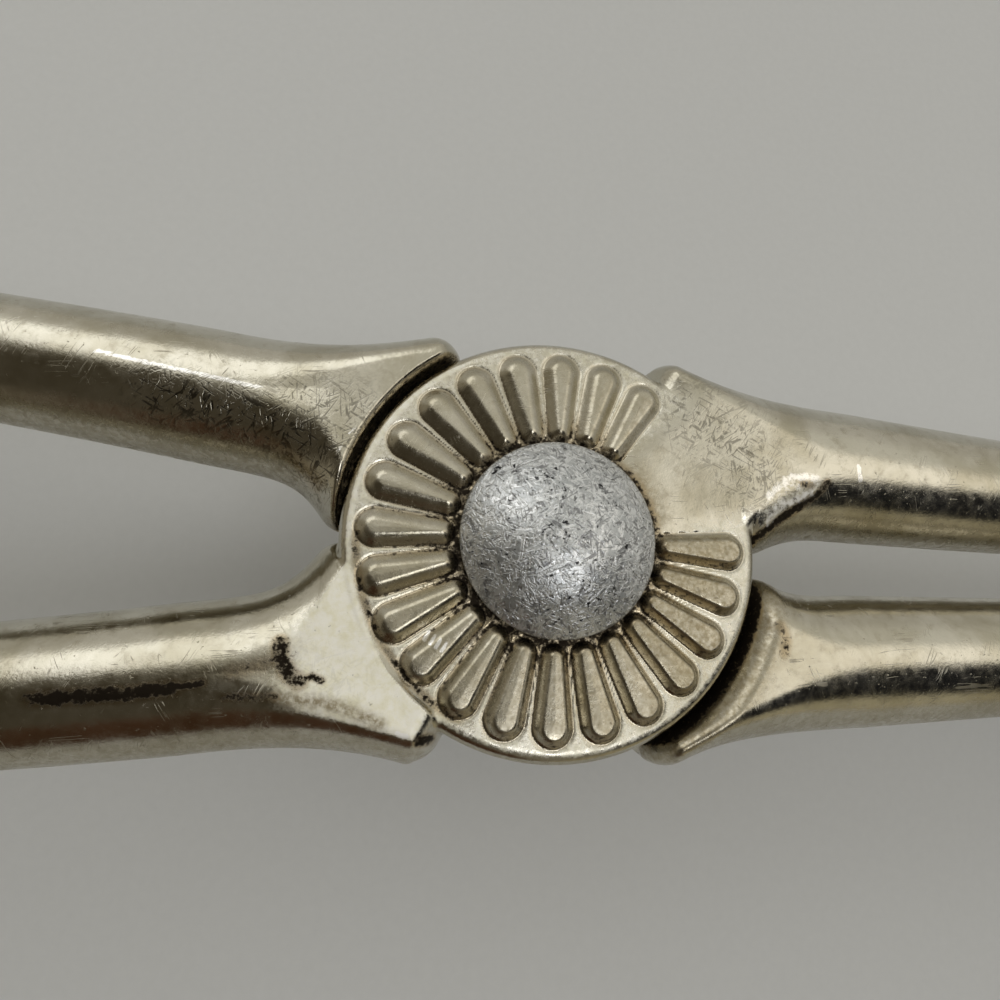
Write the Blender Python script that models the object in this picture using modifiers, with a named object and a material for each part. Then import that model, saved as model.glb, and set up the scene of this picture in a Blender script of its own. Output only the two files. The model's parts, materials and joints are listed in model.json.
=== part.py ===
"""Scissor serving tongs: two cast arms lapped at a riveted disc, finger rings, a spoon and a fork.

Sizes are in metres. +X points to the jaws, +Y across the tongs and +Z out of the front face.
The origin lies on the pivot axis, on the flat end of the rivet's tail.
"""

import math

import bmesh
import bpy
from mathutils import Matrix, Vector

MM = 0.001
DEG = math.pi / 180.0

# Gaps between pieces: a seat or fit, and the running gap round a disc
FIT_GAP = 0.3 * MM
RUNNING_GAP = 0.6 * MM

# Pivot discs, one on each arm, face to face on the lap plane
DISC_DIAMETER = 25.0 * MM
DISC_THICKNESS = 3.5 * MM
DISC_EDGE_ROUNDING = 0.7 * MM

# Petals in relief round the disc, left out on the jaw side
PETAL_PLACES = 24
PETALS_LEFT_OUT = 3
PETAL_SHARE = 0.74
PETAL_HEIGHT = 0.5 * MM
PETAL_RIM = 0.8 * MM
FIELD_MIDDLE = 29.0 * DEG
FIELD_DROP = 0.1 * MM

# Cast arms
ARM_THICKNESS = 8.3 * MM
SHOULDER_LENGTH = 8.0 * MM
SHOULDER_STEP = 0.5 * MM
SHOULDER_STOP = 1.5 * DEG
SHOULDER_SPAN = 59.5 * DEG
OUTER_HORN = 2.1 * MM
INNER_HORN = 0.5 * MM
HANDLE_LENGTH = 113.0 * MM
HANDLE_DIAMETER = 8.4 * MM
HANDLE_END_DIAMETER = 5.6 * MM
HANDLE_OFFSET = 8.5 * MM
HANDLE_SPREAD = 7.7 * DEG
JAW_LENGTH = 147.0 * MM
JAW_DIAMETER = 9.0 * MM
JAW_END_DIAMETER = 6.4 * MM
JAW_OFFSET = 6.5 * MM
JAW_END_OFFSET = 5.0 * MM
JAW_TOE_IN = 3.0 * DEG

# Finger rings of bent rod
RING_ROD = 6.4 * MM
RING_INSIDE_LENGTH = 34.0 * MM
RING_INSIDE_WIDTH = 25.0 * MM
RING_SPACING = 6.0 * MM
RING_JOIN = 12.0 * DEG

# Spoon and fork heads
HEAD_LENGTH = 77.0 * MM
HEAD_WIDTH = 46.0 * MM
HEAD_DEPTH = 12.0 * MM
HEAD_WALL = 1.4 * MM
HEAD_EGG = 0.08
HEEL_RISE = 3.2 * MM
NECK_LENGTH = 8.0 * MM
JAW_GAP = 1.8 * MM
TANG_DIAMETER = 3.4 * MM
TANG_LENGTH = 8.0 * MM
TINES = 4
SLOT_SHARE = 0.32
SLOT_FLARE_SHARE = 0.74
SLOT_REACH = 0.56

# Rivet and the burr under its tail
RIVET_HEAD_DIAMETER = 11.8 * MM
RIVET_HEAD_HEIGHT = 2.3 * MM
RIVET_HEAD_EDGE = 0.4 * MM
RIVET_SHANK_DIAMETER = 5.0 * MM
RIVET_TAIL_DIAMETER = 7.2 * MM
RIVET_TAIL_HEIGHT = 0.9 * MM
BURR_DIAMETER = 10.6 * MM
BURR_THICKNESS = 1.0 * MM

# Fineness of round shapes
RING_SIDES = 20
DISC_SIDES = 64
RIVET_SIDES = 32

# Places worked out from the sizes above
DISC_RADIUS = DISC_DIAMETER / 2
ARC_RADIUS = DISC_RADIUS + RUNNING_GAP
HALF_ARM = ARM_THICKNESS / 2
LAND = FIT_GAP / 2 + DISC_THICKNESS
LAP_Z = RIVET_TAIL_HEIGHT + FIT_GAP + BURR_THICKNESS + FIT_GAP + LAND
HEAD_SEAT_Z = LAP_Z + LAND + FIT_GAP
PETAL_PITCH = 2 * math.pi / PETAL_PLACES
JAW_END_X = JAW_LENGTH - HEAD_LENGTH - NECK_LENGTH
HEAD_MIDDLE_X = JAW_LENGTH - HEAD_LENGTH / 2
RING_HALF_LENGTH = (RING_INSIDE_LENGTH + RING_ROD) / 2
RING_HALF_WIDTH = (RING_INSIDE_WIDTH + RING_ROD) / 2


def polar(radius, angle):
    """A point in plan."""
    return Vector((radius * math.cos(angle), radius * math.sin(angle)))


def bezier(start, start_way, end, end_way, reach, share):
    """A point on a plan curve that leaves along one way and arrives along another."""
    first = start + start_way * reach
    second = end - end_way * reach
    back = 1 - share
    curve = start * back**3 + first * (3 * back * back * share)
    return curve + second * (3 * back * share * share) + end * share**3


def link(obj, collection, parent, material):
    """Put an object in its collection, under its arm's frame, with its material."""
    collection.objects.link(obj)
    obj.parent = parent
    if material:
        obj.data.materials.append(material)
    return obj


def mesh_object(name, bm, smooth=False):
    """An object from a bmesh, its faces turned outward."""
    bmesh.ops.recalc_face_normals(bm, faces=bm.faces)
    mesh = bpy.data.meshes.new(name)
    bm.to_mesh(mesh)
    bm.free()
    if smooth:
        mesh.shade_smooth()
    return bpy.data.objects.new(name, mesh)


def evaluated_mesh(obj):
    """The mesh that an object's curve or modifiers make, welded; the object is removed."""
    scene = bpy.context.scene.collection
    scene.objects.link(obj)
    bpy.context.view_layer.update()
    graph = bpy.context.evaluated_depsgraph_get()
    mesh = bpy.data.meshes.new_from_object(obj.evaluated_get(graph))
    mesh.transform(obj.matrix_world)
    bpy.data.objects.remove(obj)
    bm = bmesh.new()
    bm.from_mesh(mesh)
    bpy.data.meshes.remove(mesh)
    bmesh.ops.remove_doubles(bm, verts=bm.verts, dist=0.001 * MM)
    return bm


def cylinder(name, radius, bottom, top, sides=DISC_SIDES):
    """An upright cylinder between two heights."""
    bm = bmesh.new()
    place = Matrix.Translation((0, 0, (bottom + top) / 2))
    bmesh.ops.create_cone(
        bm,
        cap_ends=True,
        segments=sides,
        radius1=radius,
        radius2=radius,
        depth=top - bottom,
        matrix=place,
    )
    return mesh_object(name, bm)


def outline_solid(name, outlines, bottom, top):
    """Flat outlines made solid between two heights."""
    curve = bpy.data.curves.new(name, "CURVE")
    curve.dimensions = "2D"
    curve.fill_mode = "BOTH"
    curve.extrude = (top - bottom) / 2
    for outline in outlines:
        spline = curve.splines.new("POLY")
        spline.points.add(len(outline) - 1)
        for point, place in zip(spline.points, outline):
            point.co = (place[0], place[1], 0, 1)
        spline.use_cyclic_u = True
    drawn = bpy.data.objects.new(name, curve)
    drawn.location.z = (bottom + top) / 2
    bm = evaluated_mesh(drawn)
    return mesh_object(name, bm)


def turned(name, profile, steps, closed=False):
    """A profile, top to bottom on its outer side, turned about Z."""
    mesh = bpy.data.meshes.new(name)
    edges = [(i, i + 1) for i in range(len(profile) - 1)]
    if closed:
        edges.append((len(profile) - 1, 0))
    mesh.from_pydata([(radius, 0, height) for radius, height in profile], edges, [])
    obj = bpy.data.objects.new(name, mesh)
    screw = obj.modifiers.new("Turn", "SCREW")
    screw.steps = steps
    screw.render_steps = steps
    screw.use_merge_vertices = True
    screw.merge_threshold = 0.001 * MM
    screw.use_smooth_shade = True
    return obj


def arc(middle, radius, start, end, count):
    """Points round an arc, both ends among them."""
    turn = (end - start) / (count - 1)
    return [Vector(middle) + polar(radius, start + turn * i) for i in range(count)]


def section(low, high, half_height, squareness):
    """A closed ring across an arm, from one edge in plan to the other."""
    middle = (low + high) / 2
    half = (high - low) / 2
    ring = []
    for i in range(RING_SIDES):
        angle = 2 * math.pi * i / RING_SIDES
        across = math.copysign(abs(math.cos(angle)) ** (2 / squareness), math.cos(angle))
        up = math.copysign(abs(math.sin(angle)) ** (2 / squareness), math.sin(angle))
        place = middle + half * across
        ring.append(Vector((place.x, place.y, half_height * up)))
    return ring


def loft(bm, rings):
    """Skin a row of rings into one closed body."""
    rows = [[bm.verts.new(point) for point in ring] for ring in rings]
    for before, after in zip(rows, rows[1:]):
        for i in range(len(before)):
            j = (i + 1) % len(before)
            bm.faces.new((before[i], before[j], after[j], after[i]))
    bm.faces.new(rows[0])
    bm.faces.new(rows[-1])


def shoulder_rings(root, way, radius):
    """Rings from a shank's root inward, flaring to the horns and on past the disc's edge."""
    side = Vector((-way.y, way.x))
    outer_end = polar(ARC_RADIUS + OUTER_HORN, SHOULDER_STOP + SHOULDER_SPAN)
    inner_end = polar(ARC_RADIUS + INNER_HORN, SHOULDER_STOP)
    outer_way = polar(1, 166 * DEG)
    inner_way = polar(1, 220 * DEG)
    outer_start = root + side * radius
    inner_start = root - side * radius
    outer_reach = (outer_end - outer_start).length * 0.36
    inner_reach = (inner_end - inner_start).length * 0.36
    count = 7
    rings = []
    for i in range(1, count + 1):
        share = i / count
        outer = bezier(outer_start, -way, outer_end, outer_way, outer_reach, share)
        inner = bezier(inner_start, -way, inner_end, inner_way, inner_reach, share)
        rings.append(section(inner, outer, HALF_ARM, 2 + 2.6 * share))
    past = ARC_RADIUS * 0.45
    outer = outer_end + outer_way * past
    inner = inner_end + inner_way * past
    rings.append(section(inner, outer, HALF_ARM, 4.6))
    return rings


def shank_rings(root, way, radius, end, end_way, end_radius):
    """Round rings from a shank's far end to its root."""
    reach = (end - root).length / 3
    count = 8
    rings = []
    for i in range(count + 1):
        share = i / count
        middle = bezier(end, -end_way, root, -way, reach, share)
        ahead = bezier(end, -end_way, root, -way, reach, min(share + 0.02, 1.0))
        behind = bezier(end, -end_way, root, -way, reach, max(share - 0.02, 0.0))
        along = (behind - ahead).normalized()
        side = Vector((-along.y, along.x))
        size = end_radius + (radius - end_radius) * share
        height = size + (HALF_ARM - radius) * share
        rings.append(section(middle - side * size, middle + side * size, height, 2))
    return rings


def half_turn(rings):
    """The same rings on the handle's side of the pivot."""
    return [[Vector((-p.x, -p.y, p.z)) for p in ring] for ring in rings]


def ring_place():
    """Centre of a finger ring and the place where its arm joins it, on the handle's side."""
    turn = HANDLE_SPREAD
    across = math.hypot(RING_HALF_LENGTH * math.cos(turn), RING_HALF_WIDTH * math.sin(turn))
    aside = math.hypot(RING_HALF_LENGTH * math.sin(turn), RING_HALF_WIDTH * math.cos(turn))
    centre_x = -(HANDLE_LENGTH - RING_ROD / 2 - across)
    centre_y = -((RING_SPACING + RING_ROD) / 2 + aside)
    centre = Vector((centre_x, centre_y))
    ahead = RING_HALF_LENGTH * math.cos(RING_JOIN)
    inward = RING_HALF_WIDTH * math.sin(RING_JOIN)
    return centre, centre + polar(ahead, turn) + polar(inward, turn + math.pi / 2)


def finger_ring(name, rod_radius):
    """An oval of round rod, its long way along the handle."""
    curve = bpy.data.curves.new(name, "CURVE")
    curve.dimensions = "3D"
    curve.bevel_depth = rod_radius
    curve.bevel_resolution = 2
    curve.resolution_u = 10
    spline = curve.splines.new("BEZIER")
    spline.bezier_points.add(3)
    round_reach = 0.5523
    for i, point in enumerate(spline.bezier_points):
        angle = i * math.pi / 2
        place = Vector((RING_HALF_LENGTH * math.cos(angle), RING_HALF_WIDTH * math.sin(angle), 0))
        along = Vector((-RING_HALF_LENGTH * math.sin(angle), RING_HALF_WIDTH * math.cos(angle), 0))
        point.co = place
        point.handle_left = place - along * round_reach
        point.handle_right = place + along * round_reach
    spline.use_cyclic_u = True
    drawn = bpy.data.objects.new(name, curve)
    centre = ring_place()[0]
    drawn.location = (centre.x, centre.y, 0)
    drawn.rotation_euler.z = HANDLE_SPREAD
    return mesh_object(name, evaluated_mesh(drawn), smooth=True)


def arm_body(name):
    """Handle and jaw with their flared shoulders, not yet joined by the disc."""
    bm = bmesh.new()
    reach = ARC_RADIUS + SHOULDER_LENGTH
    centre, join = ring_place()
    root = Vector((reach, HANDLE_OFFSET))
    way = polar(1, HANDLE_SPREAD)
    radius = HANDLE_DIAMETER / 2
    end_way = (join - centre).normalized()
    rings = shank_rings(root, way, radius, -join, end_way, HANDLE_END_DIAMETER / 2)
    rings += shoulder_rings(root, way, radius)
    loft(bm, half_turn(rings))
    root = Vector((reach, JAW_OFFSET))
    way = polar(1, -JAW_TOE_IN)
    radius = JAW_DIAMETER / 2
    end = Vector((JAW_END_X, JAW_END_OFFSET))
    rings = shank_rings(root, way, radius, end, polar(1, 0), JAW_END_DIAMETER / 2)
    rings += shoulder_rings(root, way, radius)
    loft(bm, rings)
    return mesh_object(name, bm, smooth=True)


def beside_shoulders(name):
    """The two open stretches between an arm's own shoulders, as solid pieces of pie."""
    reach = ARC_RADIUS + SHOULDER_LENGTH * 0.6
    slices = []
    for start in (SHOULDER_STOP + SHOULDER_SPAN, SHOULDER_STOP + SHOULDER_SPAN + math.pi):
        end = start + math.pi - SHOULDER_SPAN
        slices.append([Vector((0, 0))] + arc((0, 0), reach, start, end, 20))
    bm = bmesh.new()
    for i, outline in enumerate(slices):
        piece = outline_solid(f"{name}_{i}", [outline], -ARM_THICKNESS, ARM_THICKNESS)
        bm.from_mesh(piece.data)
        bpy.data.objects.remove(piece)
    return mesh_object(name, bm)


def disc(name):
    """The arm's disc, reaching below the lap plane to where it is cut."""
    rounding = arc(
        (DISC_RADIUS - DISC_EDGE_ROUNDING, LAND - DISC_EDGE_ROUNDING),
        DISC_EDGE_ROUNDING,
        math.pi / 2,
        0,
        4,
    )
    below = -DISC_THICKNESS / 3
    profile = [(0, LAND)] + [tuple(p) for p in rounding] + [(DISC_RADIUS, below), (0, below)]
    return mesh_object(name, evaluated_mesh(turned(name, profile, DISC_SIDES)))


def smooth_field(name):
    """The plain stretch of the disc on the jaw's side, level with the shoulder."""
    half = (PETALS_LEFT_OUT - 0.06) * PETAL_PITCH / 2
    start = FIELD_MIDDLE - half
    end = FIELD_MIDDLE + half
    outer = arc((0, 0), DISC_RADIUS - SHOULDER_STEP / 3, start, end, 12)
    inner = arc((0, 0), RIVET_HEAD_DIAMETER / 2 + FIT_GAP, end, start, 12)
    return outline_solid(name, [outer + inner], LAND / 2, HALF_ARM - FIELD_DROP)


def petals(name):
    """Teardrops turned about their own length, flattened and laid round the disc."""
    lean = PETAL_SHARE * PETAL_PITCH / 2
    swell = math.sin(lean)
    outer_end = DISC_RADIUS - PETAL_RIM
    inner_end = RIVET_HEAD_DIAMETER / 2 + FIT_GAP
    outer = outer_end / (1 + swell)
    inner = inner_end / (1 - swell)
    top = arc((0, outer), outer * swell, math.pi / 2, -lean, 5)
    bottom = arc((0, inner), inner * swell, -lean, -math.pi / 2, 4)
    profile = [tuple(p) for p in top + bottom]
    profile[0] = (0, outer_end)
    profile[-1] = (0, inner_end)
    drop = evaluated_mesh(turned(name, profile, 8))
    flat = Matrix.Diagonal((1, PETAL_HEIGHT / (outer * swell), 1, 1))
    lay = Matrix.Rotation(math.pi / 2, 4, "Y") @ Matrix.Rotation(math.pi / 2, 4, "Z") @ flat
    bmesh.ops.transform(drop, matrix=lay, verts=drop.verts)
    mesh = bpy.data.meshes.new(name)
    drop.to_mesh(mesh)
    drop.free()
    bm = bmesh.new()
    first = FIELD_MIDDLE + (PETALS_LEFT_OUT + 1) * PETAL_PITCH / 2
    for i in range(PETAL_PLACES - PETALS_LEFT_OUT):
        turn = Matrix.Rotation(first + i * PETAL_PITCH, 4, "Z")
        place = Matrix.Translation((0, 0, LAND - PETAL_HEIGHT * 0.07)) @ turn
        before = len(bm.verts)
        bm.from_mesh(mesh)
        bm.verts.ensure_lookup_table()
        bmesh.ops.transform(bm, matrix=place, verts=bm.verts[before:])
    bpy.data.meshes.remove(mesh)
    return mesh_object(name, bm)


def boolean(target, tool, operation):
    """Cut or join one object with another."""
    modifier = target.modifiers.new(f"{operation.title()} {tool.name}", "BOOLEAN")
    modifier.operation = operation
    modifier.solver = "EXACT"
    modifier.object = tool


def build_arm(side, frame, parts, cutters, material):
    """One arm in its own frame, whose lap plane is at height zero and whose disc is above it."""

    def tool(obj):
        link(obj, cutters, frame, None)
        obj.hide_render = True
        obj.display_type = "WIRE"
        return obj

    arm = link(arm_body(f"{side}_arm"), parts, frame, material)
    tall = ARM_THICKNESS
    over = tool(cylinder(f"{side}_over_disc", DISC_RADIUS - SHOULDER_STEP, -tall / 8, tall))
    under = tool(cylinder(f"{side}_lap", ARC_RADIUS, -tall, FIT_GAP / 2))
    bore_radius = RIVET_SHANK_DIAMETER / 2 + FIT_GAP
    bore = tool(cylinder(f"{side}_bore", bore_radius, -tall, tall, RIVET_SIDES))
    saddle = tool(finger_ring(f"{side}_saddle", RING_ROD / 2 + FIT_GAP))
    socket_length = TANG_LENGTH + 2 * FIT_GAP
    socket = cylinder(
        f"{side}_socket", TANG_DIAMETER / 2 + FIT_GAP, -socket_length, NECK_LENGTH, RIVET_SIDES // 2
    )
    socket.location = (JAW_END_X, JAW_END_OFFSET, 0)
    socket.rotation_euler.y = math.pi / 2
    tool(socket)
    boolean(arm, tool(beside_shoulders(f"{side}_beside")), "DIFFERENCE")
    boolean(arm, over, "DIFFERENCE")
    boolean(arm, tool(disc(f"{side}_disc")), "UNION")
    boolean(arm, under, "DIFFERENCE")
    boolean(arm, tool(smooth_field(f"{side}_field")), "UNION")
    boolean(arm, tool(petals(f"{side}_petals")), "UNION")
    boolean(arm, bore, "DIFFERENCE")
    boolean(arm, saddle, "DIFFERENCE")
    boolean(arm, socket, "DIFFERENCE")
    return arm


def bowl_place(along, across):
    """A point of a head's hollow side: along and across run from -1 to 1 over its outline."""
    out = min(along * along + across * across, 1.0)
    rise = HEEL_RISE * (max(0.0, -along - 0.35) / 0.65) ** 2
    x = HEAD_MIDDLE_X + (HEAD_LENGTH / 2 - HEAD_WALL) * along
    y = JAW_GAP / 2 + rise + (HEAD_DEPTH - rise) * (1 - out)
    z = (HEAD_WIDTH / 2 - HEAD_WALL) * across * (1 + HEAD_EGG * along)
    return Vector((x, y, z))


def head_shell(name):
    """The hollow side of a head, cupped from half a sphere, with its wall outside it."""
    bm = bmesh.new()
    bmesh.ops.create_uvsphere(bm, u_segments=32, v_segments=16, radius=1)
    lower = [v for v in bm.verts if v.co.z < -0.001]
    bmesh.ops.delete(bm, geom=lower, context="VERTS")
    for vert in bm.verts:
        vert.co = bowl_place(vert.co.x, vert.co.y)
    obj = mesh_object(name, bm, smooth=True)
    top = max(obj.data.polygons, key=lambda face: face.center.y)
    shell = obj.modifiers.new("Wall", "SOLIDIFY")
    shell.thickness = HEAD_WALL
    shell.offset = math.copysign(1.0, top.normal.y)
    return obj


def heel(name):
    """Tang, neck and the tapering drop on a head's back, as one loft."""
    back = HEAD_WALL * 0.7

    def ring(x, y, half_y, half_z):
        points = []
        for i in range(RING_SIDES):
            angle = 2 * math.pi * i / RING_SIDES
            points.append(Vector((x, y + half_y * math.cos(angle), half_z * math.sin(angle))))
        return points

    tang = TANG_DIAMETER / 2
    neck = JAW_END_DIAMETER / 2
    start = JAW_END_X + FIT_GAP
    rings = [
        ring(JAW_END_X - TANG_LENGTH, JAW_END_OFFSET, tang, tang),
        ring(start, JAW_END_OFFSET, tang, tang),
        ring(start, JAW_END_OFFSET, neck, neck),
        ring(start + NECK_LENGTH / 2, JAW_END_OFFSET, neck * 0.9, neck),
    ]
    for along, half_y, half_z in ((-0.97, 0.75, 1.2), (-0.82, 0.55, 1.5), (-0.62, 0.34, 1.1), (-0.42, 0.2, 0.35)):
        place = bowl_place(along, 0)
        y = max(place.y + back, JAW_END_OFFSET)
        rings.append(ring(place.x, y, neck * half_y, neck * half_z))
    bm = bmesh.new()
    loft(bm, rings)
    return mesh_object(name, bm, smooth=True)


def slots(name):
    """The gaps between the tines, flaring to the tips, through the whole head."""
    pitch = HEAD_WIDTH / TINES
    half = pitch * SLOT_SHARE / 2
    flare = pitch * SLOT_FLARE_SHARE / 2
    tip = JAW_LENGTH
    root = tip - HEAD_LENGTH * SLOT_REACH
    bend = tip - HEAD_LENGTH * 0.2
    bm = bmesh.new()
    for i in range(1, TINES):
        across = i * pitch - HEAD_WIDTH / 2
        outline = arc((root, across), half, 1.5 * math.pi, 0.5 * math.pi, 7)
        outline += [Vector((bend, across + half)), Vector((tip, across + flare))]
        outline += [Vector((tip + pitch, across + flare)), Vector((tip + pitch, across - flare))]
        outline += [Vector((tip, across - flare)), Vector((bend, across - half))]
        deep = HEAD_DEPTH + HEAD_WALL
        piece = outline_solid(f"{name}_{i}", [outline], -2 * deep, deep)
        bm.from_mesh(piece.data)
        bpy.data.objects.remove(piece)
    turn = Matrix.Rotation(math.pi / 2, 4, "X")
    bmesh.ops.transform(bm, matrix=turn, verts=bm.verts)
    return mesh_object(name, bm)


def build_head(name, forked, frame, parts, cutters, material):
    """A spoon bowl, or a fork of the same form with slots."""
    head = link(head_shell(name), parts, frame, material)
    tools = [(heel(f"{name}_heel"), "UNION")]
    if forked:
        tools.append((slots(f"{name}_slots"), "DIFFERENCE"))
    for obj, operation in tools:
        link(obj, cutters, frame, None)
        obj.hide_render = True
        obj.display_type = "WIRE"
        boolean(head, obj, operation)
    return head


def rivet(name):
    """Domed head, shank and set tail, turned in one."""
    base = RIVET_HEAD_DIAMETER / 2
    cap = RIVET_HEAD_HEIGHT - RIVET_HEAD_EDGE
    ball = (base * base + cap * cap) / (2 * cap)
    half = math.asin(base / ball)
    edge = HEAD_SEAT_Z + RIVET_HEAD_EDGE
    dome = arc((0, edge + cap - ball), ball, math.pi / 2, math.pi / 2 - half, 8)
    shank = RIVET_SHANK_DIAMETER / 2
    tail = RIVET_TAIL_DIAMETER / 2
    soft = RIVET_TAIL_HEIGHT / 3
    profile = [tuple(p) for p in dome]
    profile[0] = (0, edge + cap)
    profile += [(base, HEAD_SEAT_Z), (shank, HEAD_SEAT_Z), (shank, RIVET_TAIL_HEIGHT)]
    profile += [(tail, RIVET_TAIL_HEIGHT), (tail, soft), (tail - soft, 0), (0, 0)]
    return turned(name, profile, RIVET_SIDES)


def burr(name):
    """The washer between the tail and the rear disc."""
    inner = RIVET_SHANK_DIAMETER / 2 + FIT_GAP
    outer = BURR_DIAMETER / 2
    bottom = RIVET_TAIL_HEIGHT + FIT_GAP
    top = bottom + BURR_THICKNESS
    soft = BURR_THICKNESS / 4
    profile = [(inner, top), (outer, top), (outer, bottom + soft), (outer - soft, bottom), (inner, bottom)]
    return turned(name, profile, RIVET_SIDES, closed=True)


def metal(name, colour, roughness):
    """A metal of one colour."""
    material = bpy.data.materials.new(name)
    material.use_nodes = True
    shader = material.node_tree.nodes["Principled BSDF"]
    shader.inputs["Base Color"].default_value = (*colour, 1)
    shader.inputs["Metallic"].default_value = 1.0
    shader.inputs["Roughness"].default_value = roughness
    return material


def arm_frame(name, turn, parts):
    """An empty on the pivot axis at the lap plane, which carries one arm's pieces."""
    frame = bpy.data.objects.new(name, None)
    frame.location = (0, 0, LAP_Z)
    frame.rotation_euler.x = turn
    parts.objects.link(frame)
    return frame


def main():
    """Build the tongs closed, as they lie."""
    for obj in list(bpy.data.objects):
        bpy.data.objects.remove(obj)
    parts = bpy.data.collections.new("scissor_serving_tongs")
    cutters = bpy.data.collections.new("cutters")
    for collection in (parts, cutters):
        bpy.context.scene.collection.children.link(collection)
    cast = metal("cast_silver_plate", (0.66, 0.62, 0.53), 0.28)
    ring_metal = metal("ring_silver_plate", (0.67, 0.63, 0.54), 0.25)
    head_metal = metal("head_silver_plate", (0.68, 0.64, 0.56), 0.22)
    grey = metal("rivet_grey", (0.42, 0.43, 0.45), 0.42)
    burr_metal = metal("burr_grey", (0.40, 0.41, 0.42), 0.45)
    front = arm_frame("front_frame", 0.0, parts)
    rear = arm_frame("rear_frame", math.pi, parts)
    for side, frame in (("front", front), ("rear", rear)):
        build_arm(side, frame, parts, cutters, cast)
        ring = finger_ring(f"{side}_finger_ring", RING_ROD / 2)
        link(ring, parts, frame, ring_metal)
    build_head("spoon_bowl", False, front, parts, cutters, head_metal)
    build_head("fork_head", True, rear, parts, cutters, head_metal)
    link(rivet("pivot_rivet"), parts, None, grey)
    link(burr("rivet_burr"), parts, None, burr_metal)


main()
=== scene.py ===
"""Looks of the scissor serving tongs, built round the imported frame.

Lengths are in millimetres until a mesh is made. Each arm is shaped in its own frame: the lap
plane at height zero, the disc above it, the jaw at +x +y and the handle at -x -y. The rear arm
is the same casting turned half round the long axis.
"""

import json
import math

import bpy
import numpy as np
from mathutils import Matrix, Vector


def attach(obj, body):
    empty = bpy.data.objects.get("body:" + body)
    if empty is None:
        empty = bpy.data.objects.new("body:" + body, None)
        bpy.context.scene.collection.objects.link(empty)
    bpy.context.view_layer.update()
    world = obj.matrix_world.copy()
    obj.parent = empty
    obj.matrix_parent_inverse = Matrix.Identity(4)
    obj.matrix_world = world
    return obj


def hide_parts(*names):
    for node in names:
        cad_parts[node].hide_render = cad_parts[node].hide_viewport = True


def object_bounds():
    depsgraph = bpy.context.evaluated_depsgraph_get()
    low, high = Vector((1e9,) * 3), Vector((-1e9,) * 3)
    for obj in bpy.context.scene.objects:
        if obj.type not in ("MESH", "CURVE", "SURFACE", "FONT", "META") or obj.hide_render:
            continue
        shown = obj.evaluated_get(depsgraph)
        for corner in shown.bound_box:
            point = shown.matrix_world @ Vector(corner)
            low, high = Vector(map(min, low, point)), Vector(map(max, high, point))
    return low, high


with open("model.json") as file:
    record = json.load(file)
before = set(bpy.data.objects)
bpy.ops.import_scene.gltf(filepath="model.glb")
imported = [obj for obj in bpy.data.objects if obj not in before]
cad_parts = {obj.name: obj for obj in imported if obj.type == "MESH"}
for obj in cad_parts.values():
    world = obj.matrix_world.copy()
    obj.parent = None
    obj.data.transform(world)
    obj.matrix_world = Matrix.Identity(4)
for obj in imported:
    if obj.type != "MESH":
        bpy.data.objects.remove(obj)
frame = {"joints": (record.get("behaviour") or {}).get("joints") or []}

CAD_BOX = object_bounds()
MM = 0.001
DEG = math.pi / 180.0

# Pivot: the lap plane's height from the joint, discs and the gap round them. The rim stands
# out a little past the solid's. The fillet round the disc is sharper at the plain field, and
# the lap's edge is rounder on the jaw's side, which starts and is whole at two places along x.
LAP_HEIGHT = frame["joints"][0]["pos_m"][2] / MM
DISC_RADIUS = 12.5
DISC_FOOT = -1.0
LAND = 3.65
RUNNING_GAP = 0.6
LAP_GAP = 0.15
DISC_EDGE = 0.8
RIM = 0.28
DISC_FILLET = 0.22
DISC_FILLET_DROP = 0.21
LAP_EDGE = 0.4
LAP_EDGE_BY_JAW = 1.3
LAP_EDGE_FROM_TO = (12.6, 13.3)
JAW_SIDE_FROM_TO = (0.0, 4.0)

# Arms: a shoulder's edge grows round, its flat ends and its horns run out at places along it.
# A limb's two cut ends, at the far end and under the disc, are rounded a little.
HALF_ARM = 4.15
SHOULDER_LENGTH = 8.0
ROUND_FROM_TO = (8.5, 20.0)
FLAT_FROM_TO = (15.0, 21.0)
HORN_END = 15.0
HORN_ROUNDING = 1.7
INNER_HORN_ROUNDING = 0.68
HORN_CLEARING = 0.8
HORN_OVERRUN = 0.45
HANDLE_EDGE = 2.1
HANDLE_SCOOP = 0.10
SCOOP_RUN = 3.0
HANDLE_TILT = 0.07
TILT_REACH = 8.0
JAW_EDGE = 2.0
JAW_END = (62.0, 5.0)
LIMB_START = 12.0
HANDLE_END_EDGES = (0.5, 0.4)
JAW_END_EDGES = (0.4, 0.3)
CURVE_POINTS = 200

# The four limbs, finished by hand, so that they differ a little. A shank starts at an offset
# from the long axis, with a radius, and points a way. Its shoulder stops at two angles round
# the disc. Each of its two horns stands out from the disc's gap, and its edge arrives there a
# way, with a reach of its curve at either end.
HANDLE = {
    "offset": 8.5, "radius": 4.25, "way": 7.7 * DEG, "end_radius": 2.8,
    "outer": (2.1, 162 * DEG, 0.46, 0.27), "inner": (0.5, 236 * DEG, 0.58, 0.42),
}
JAW = {"way": -3.0 * DEG, "end_radius": 3.2}
FRONT_HANDLE = {**HANDLE, "stops": (1.4 * DEG, 62.0 * DEG)}
REAR_HANDLE = {**HANDLE, "stops": (1.9 * DEG, 63.8 * DEG)}
FRONT_JAW = {
    **JAW, "offset": 6.2, "radius": 4.6, "stops": (-0.6 * DEG, 61.7 * DEG),
    "outer": (2.2, 150 * DEG, 0.58, 0.22), "inner": (0.5, 210 * DEG, 0.40, 0.40),
}
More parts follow.
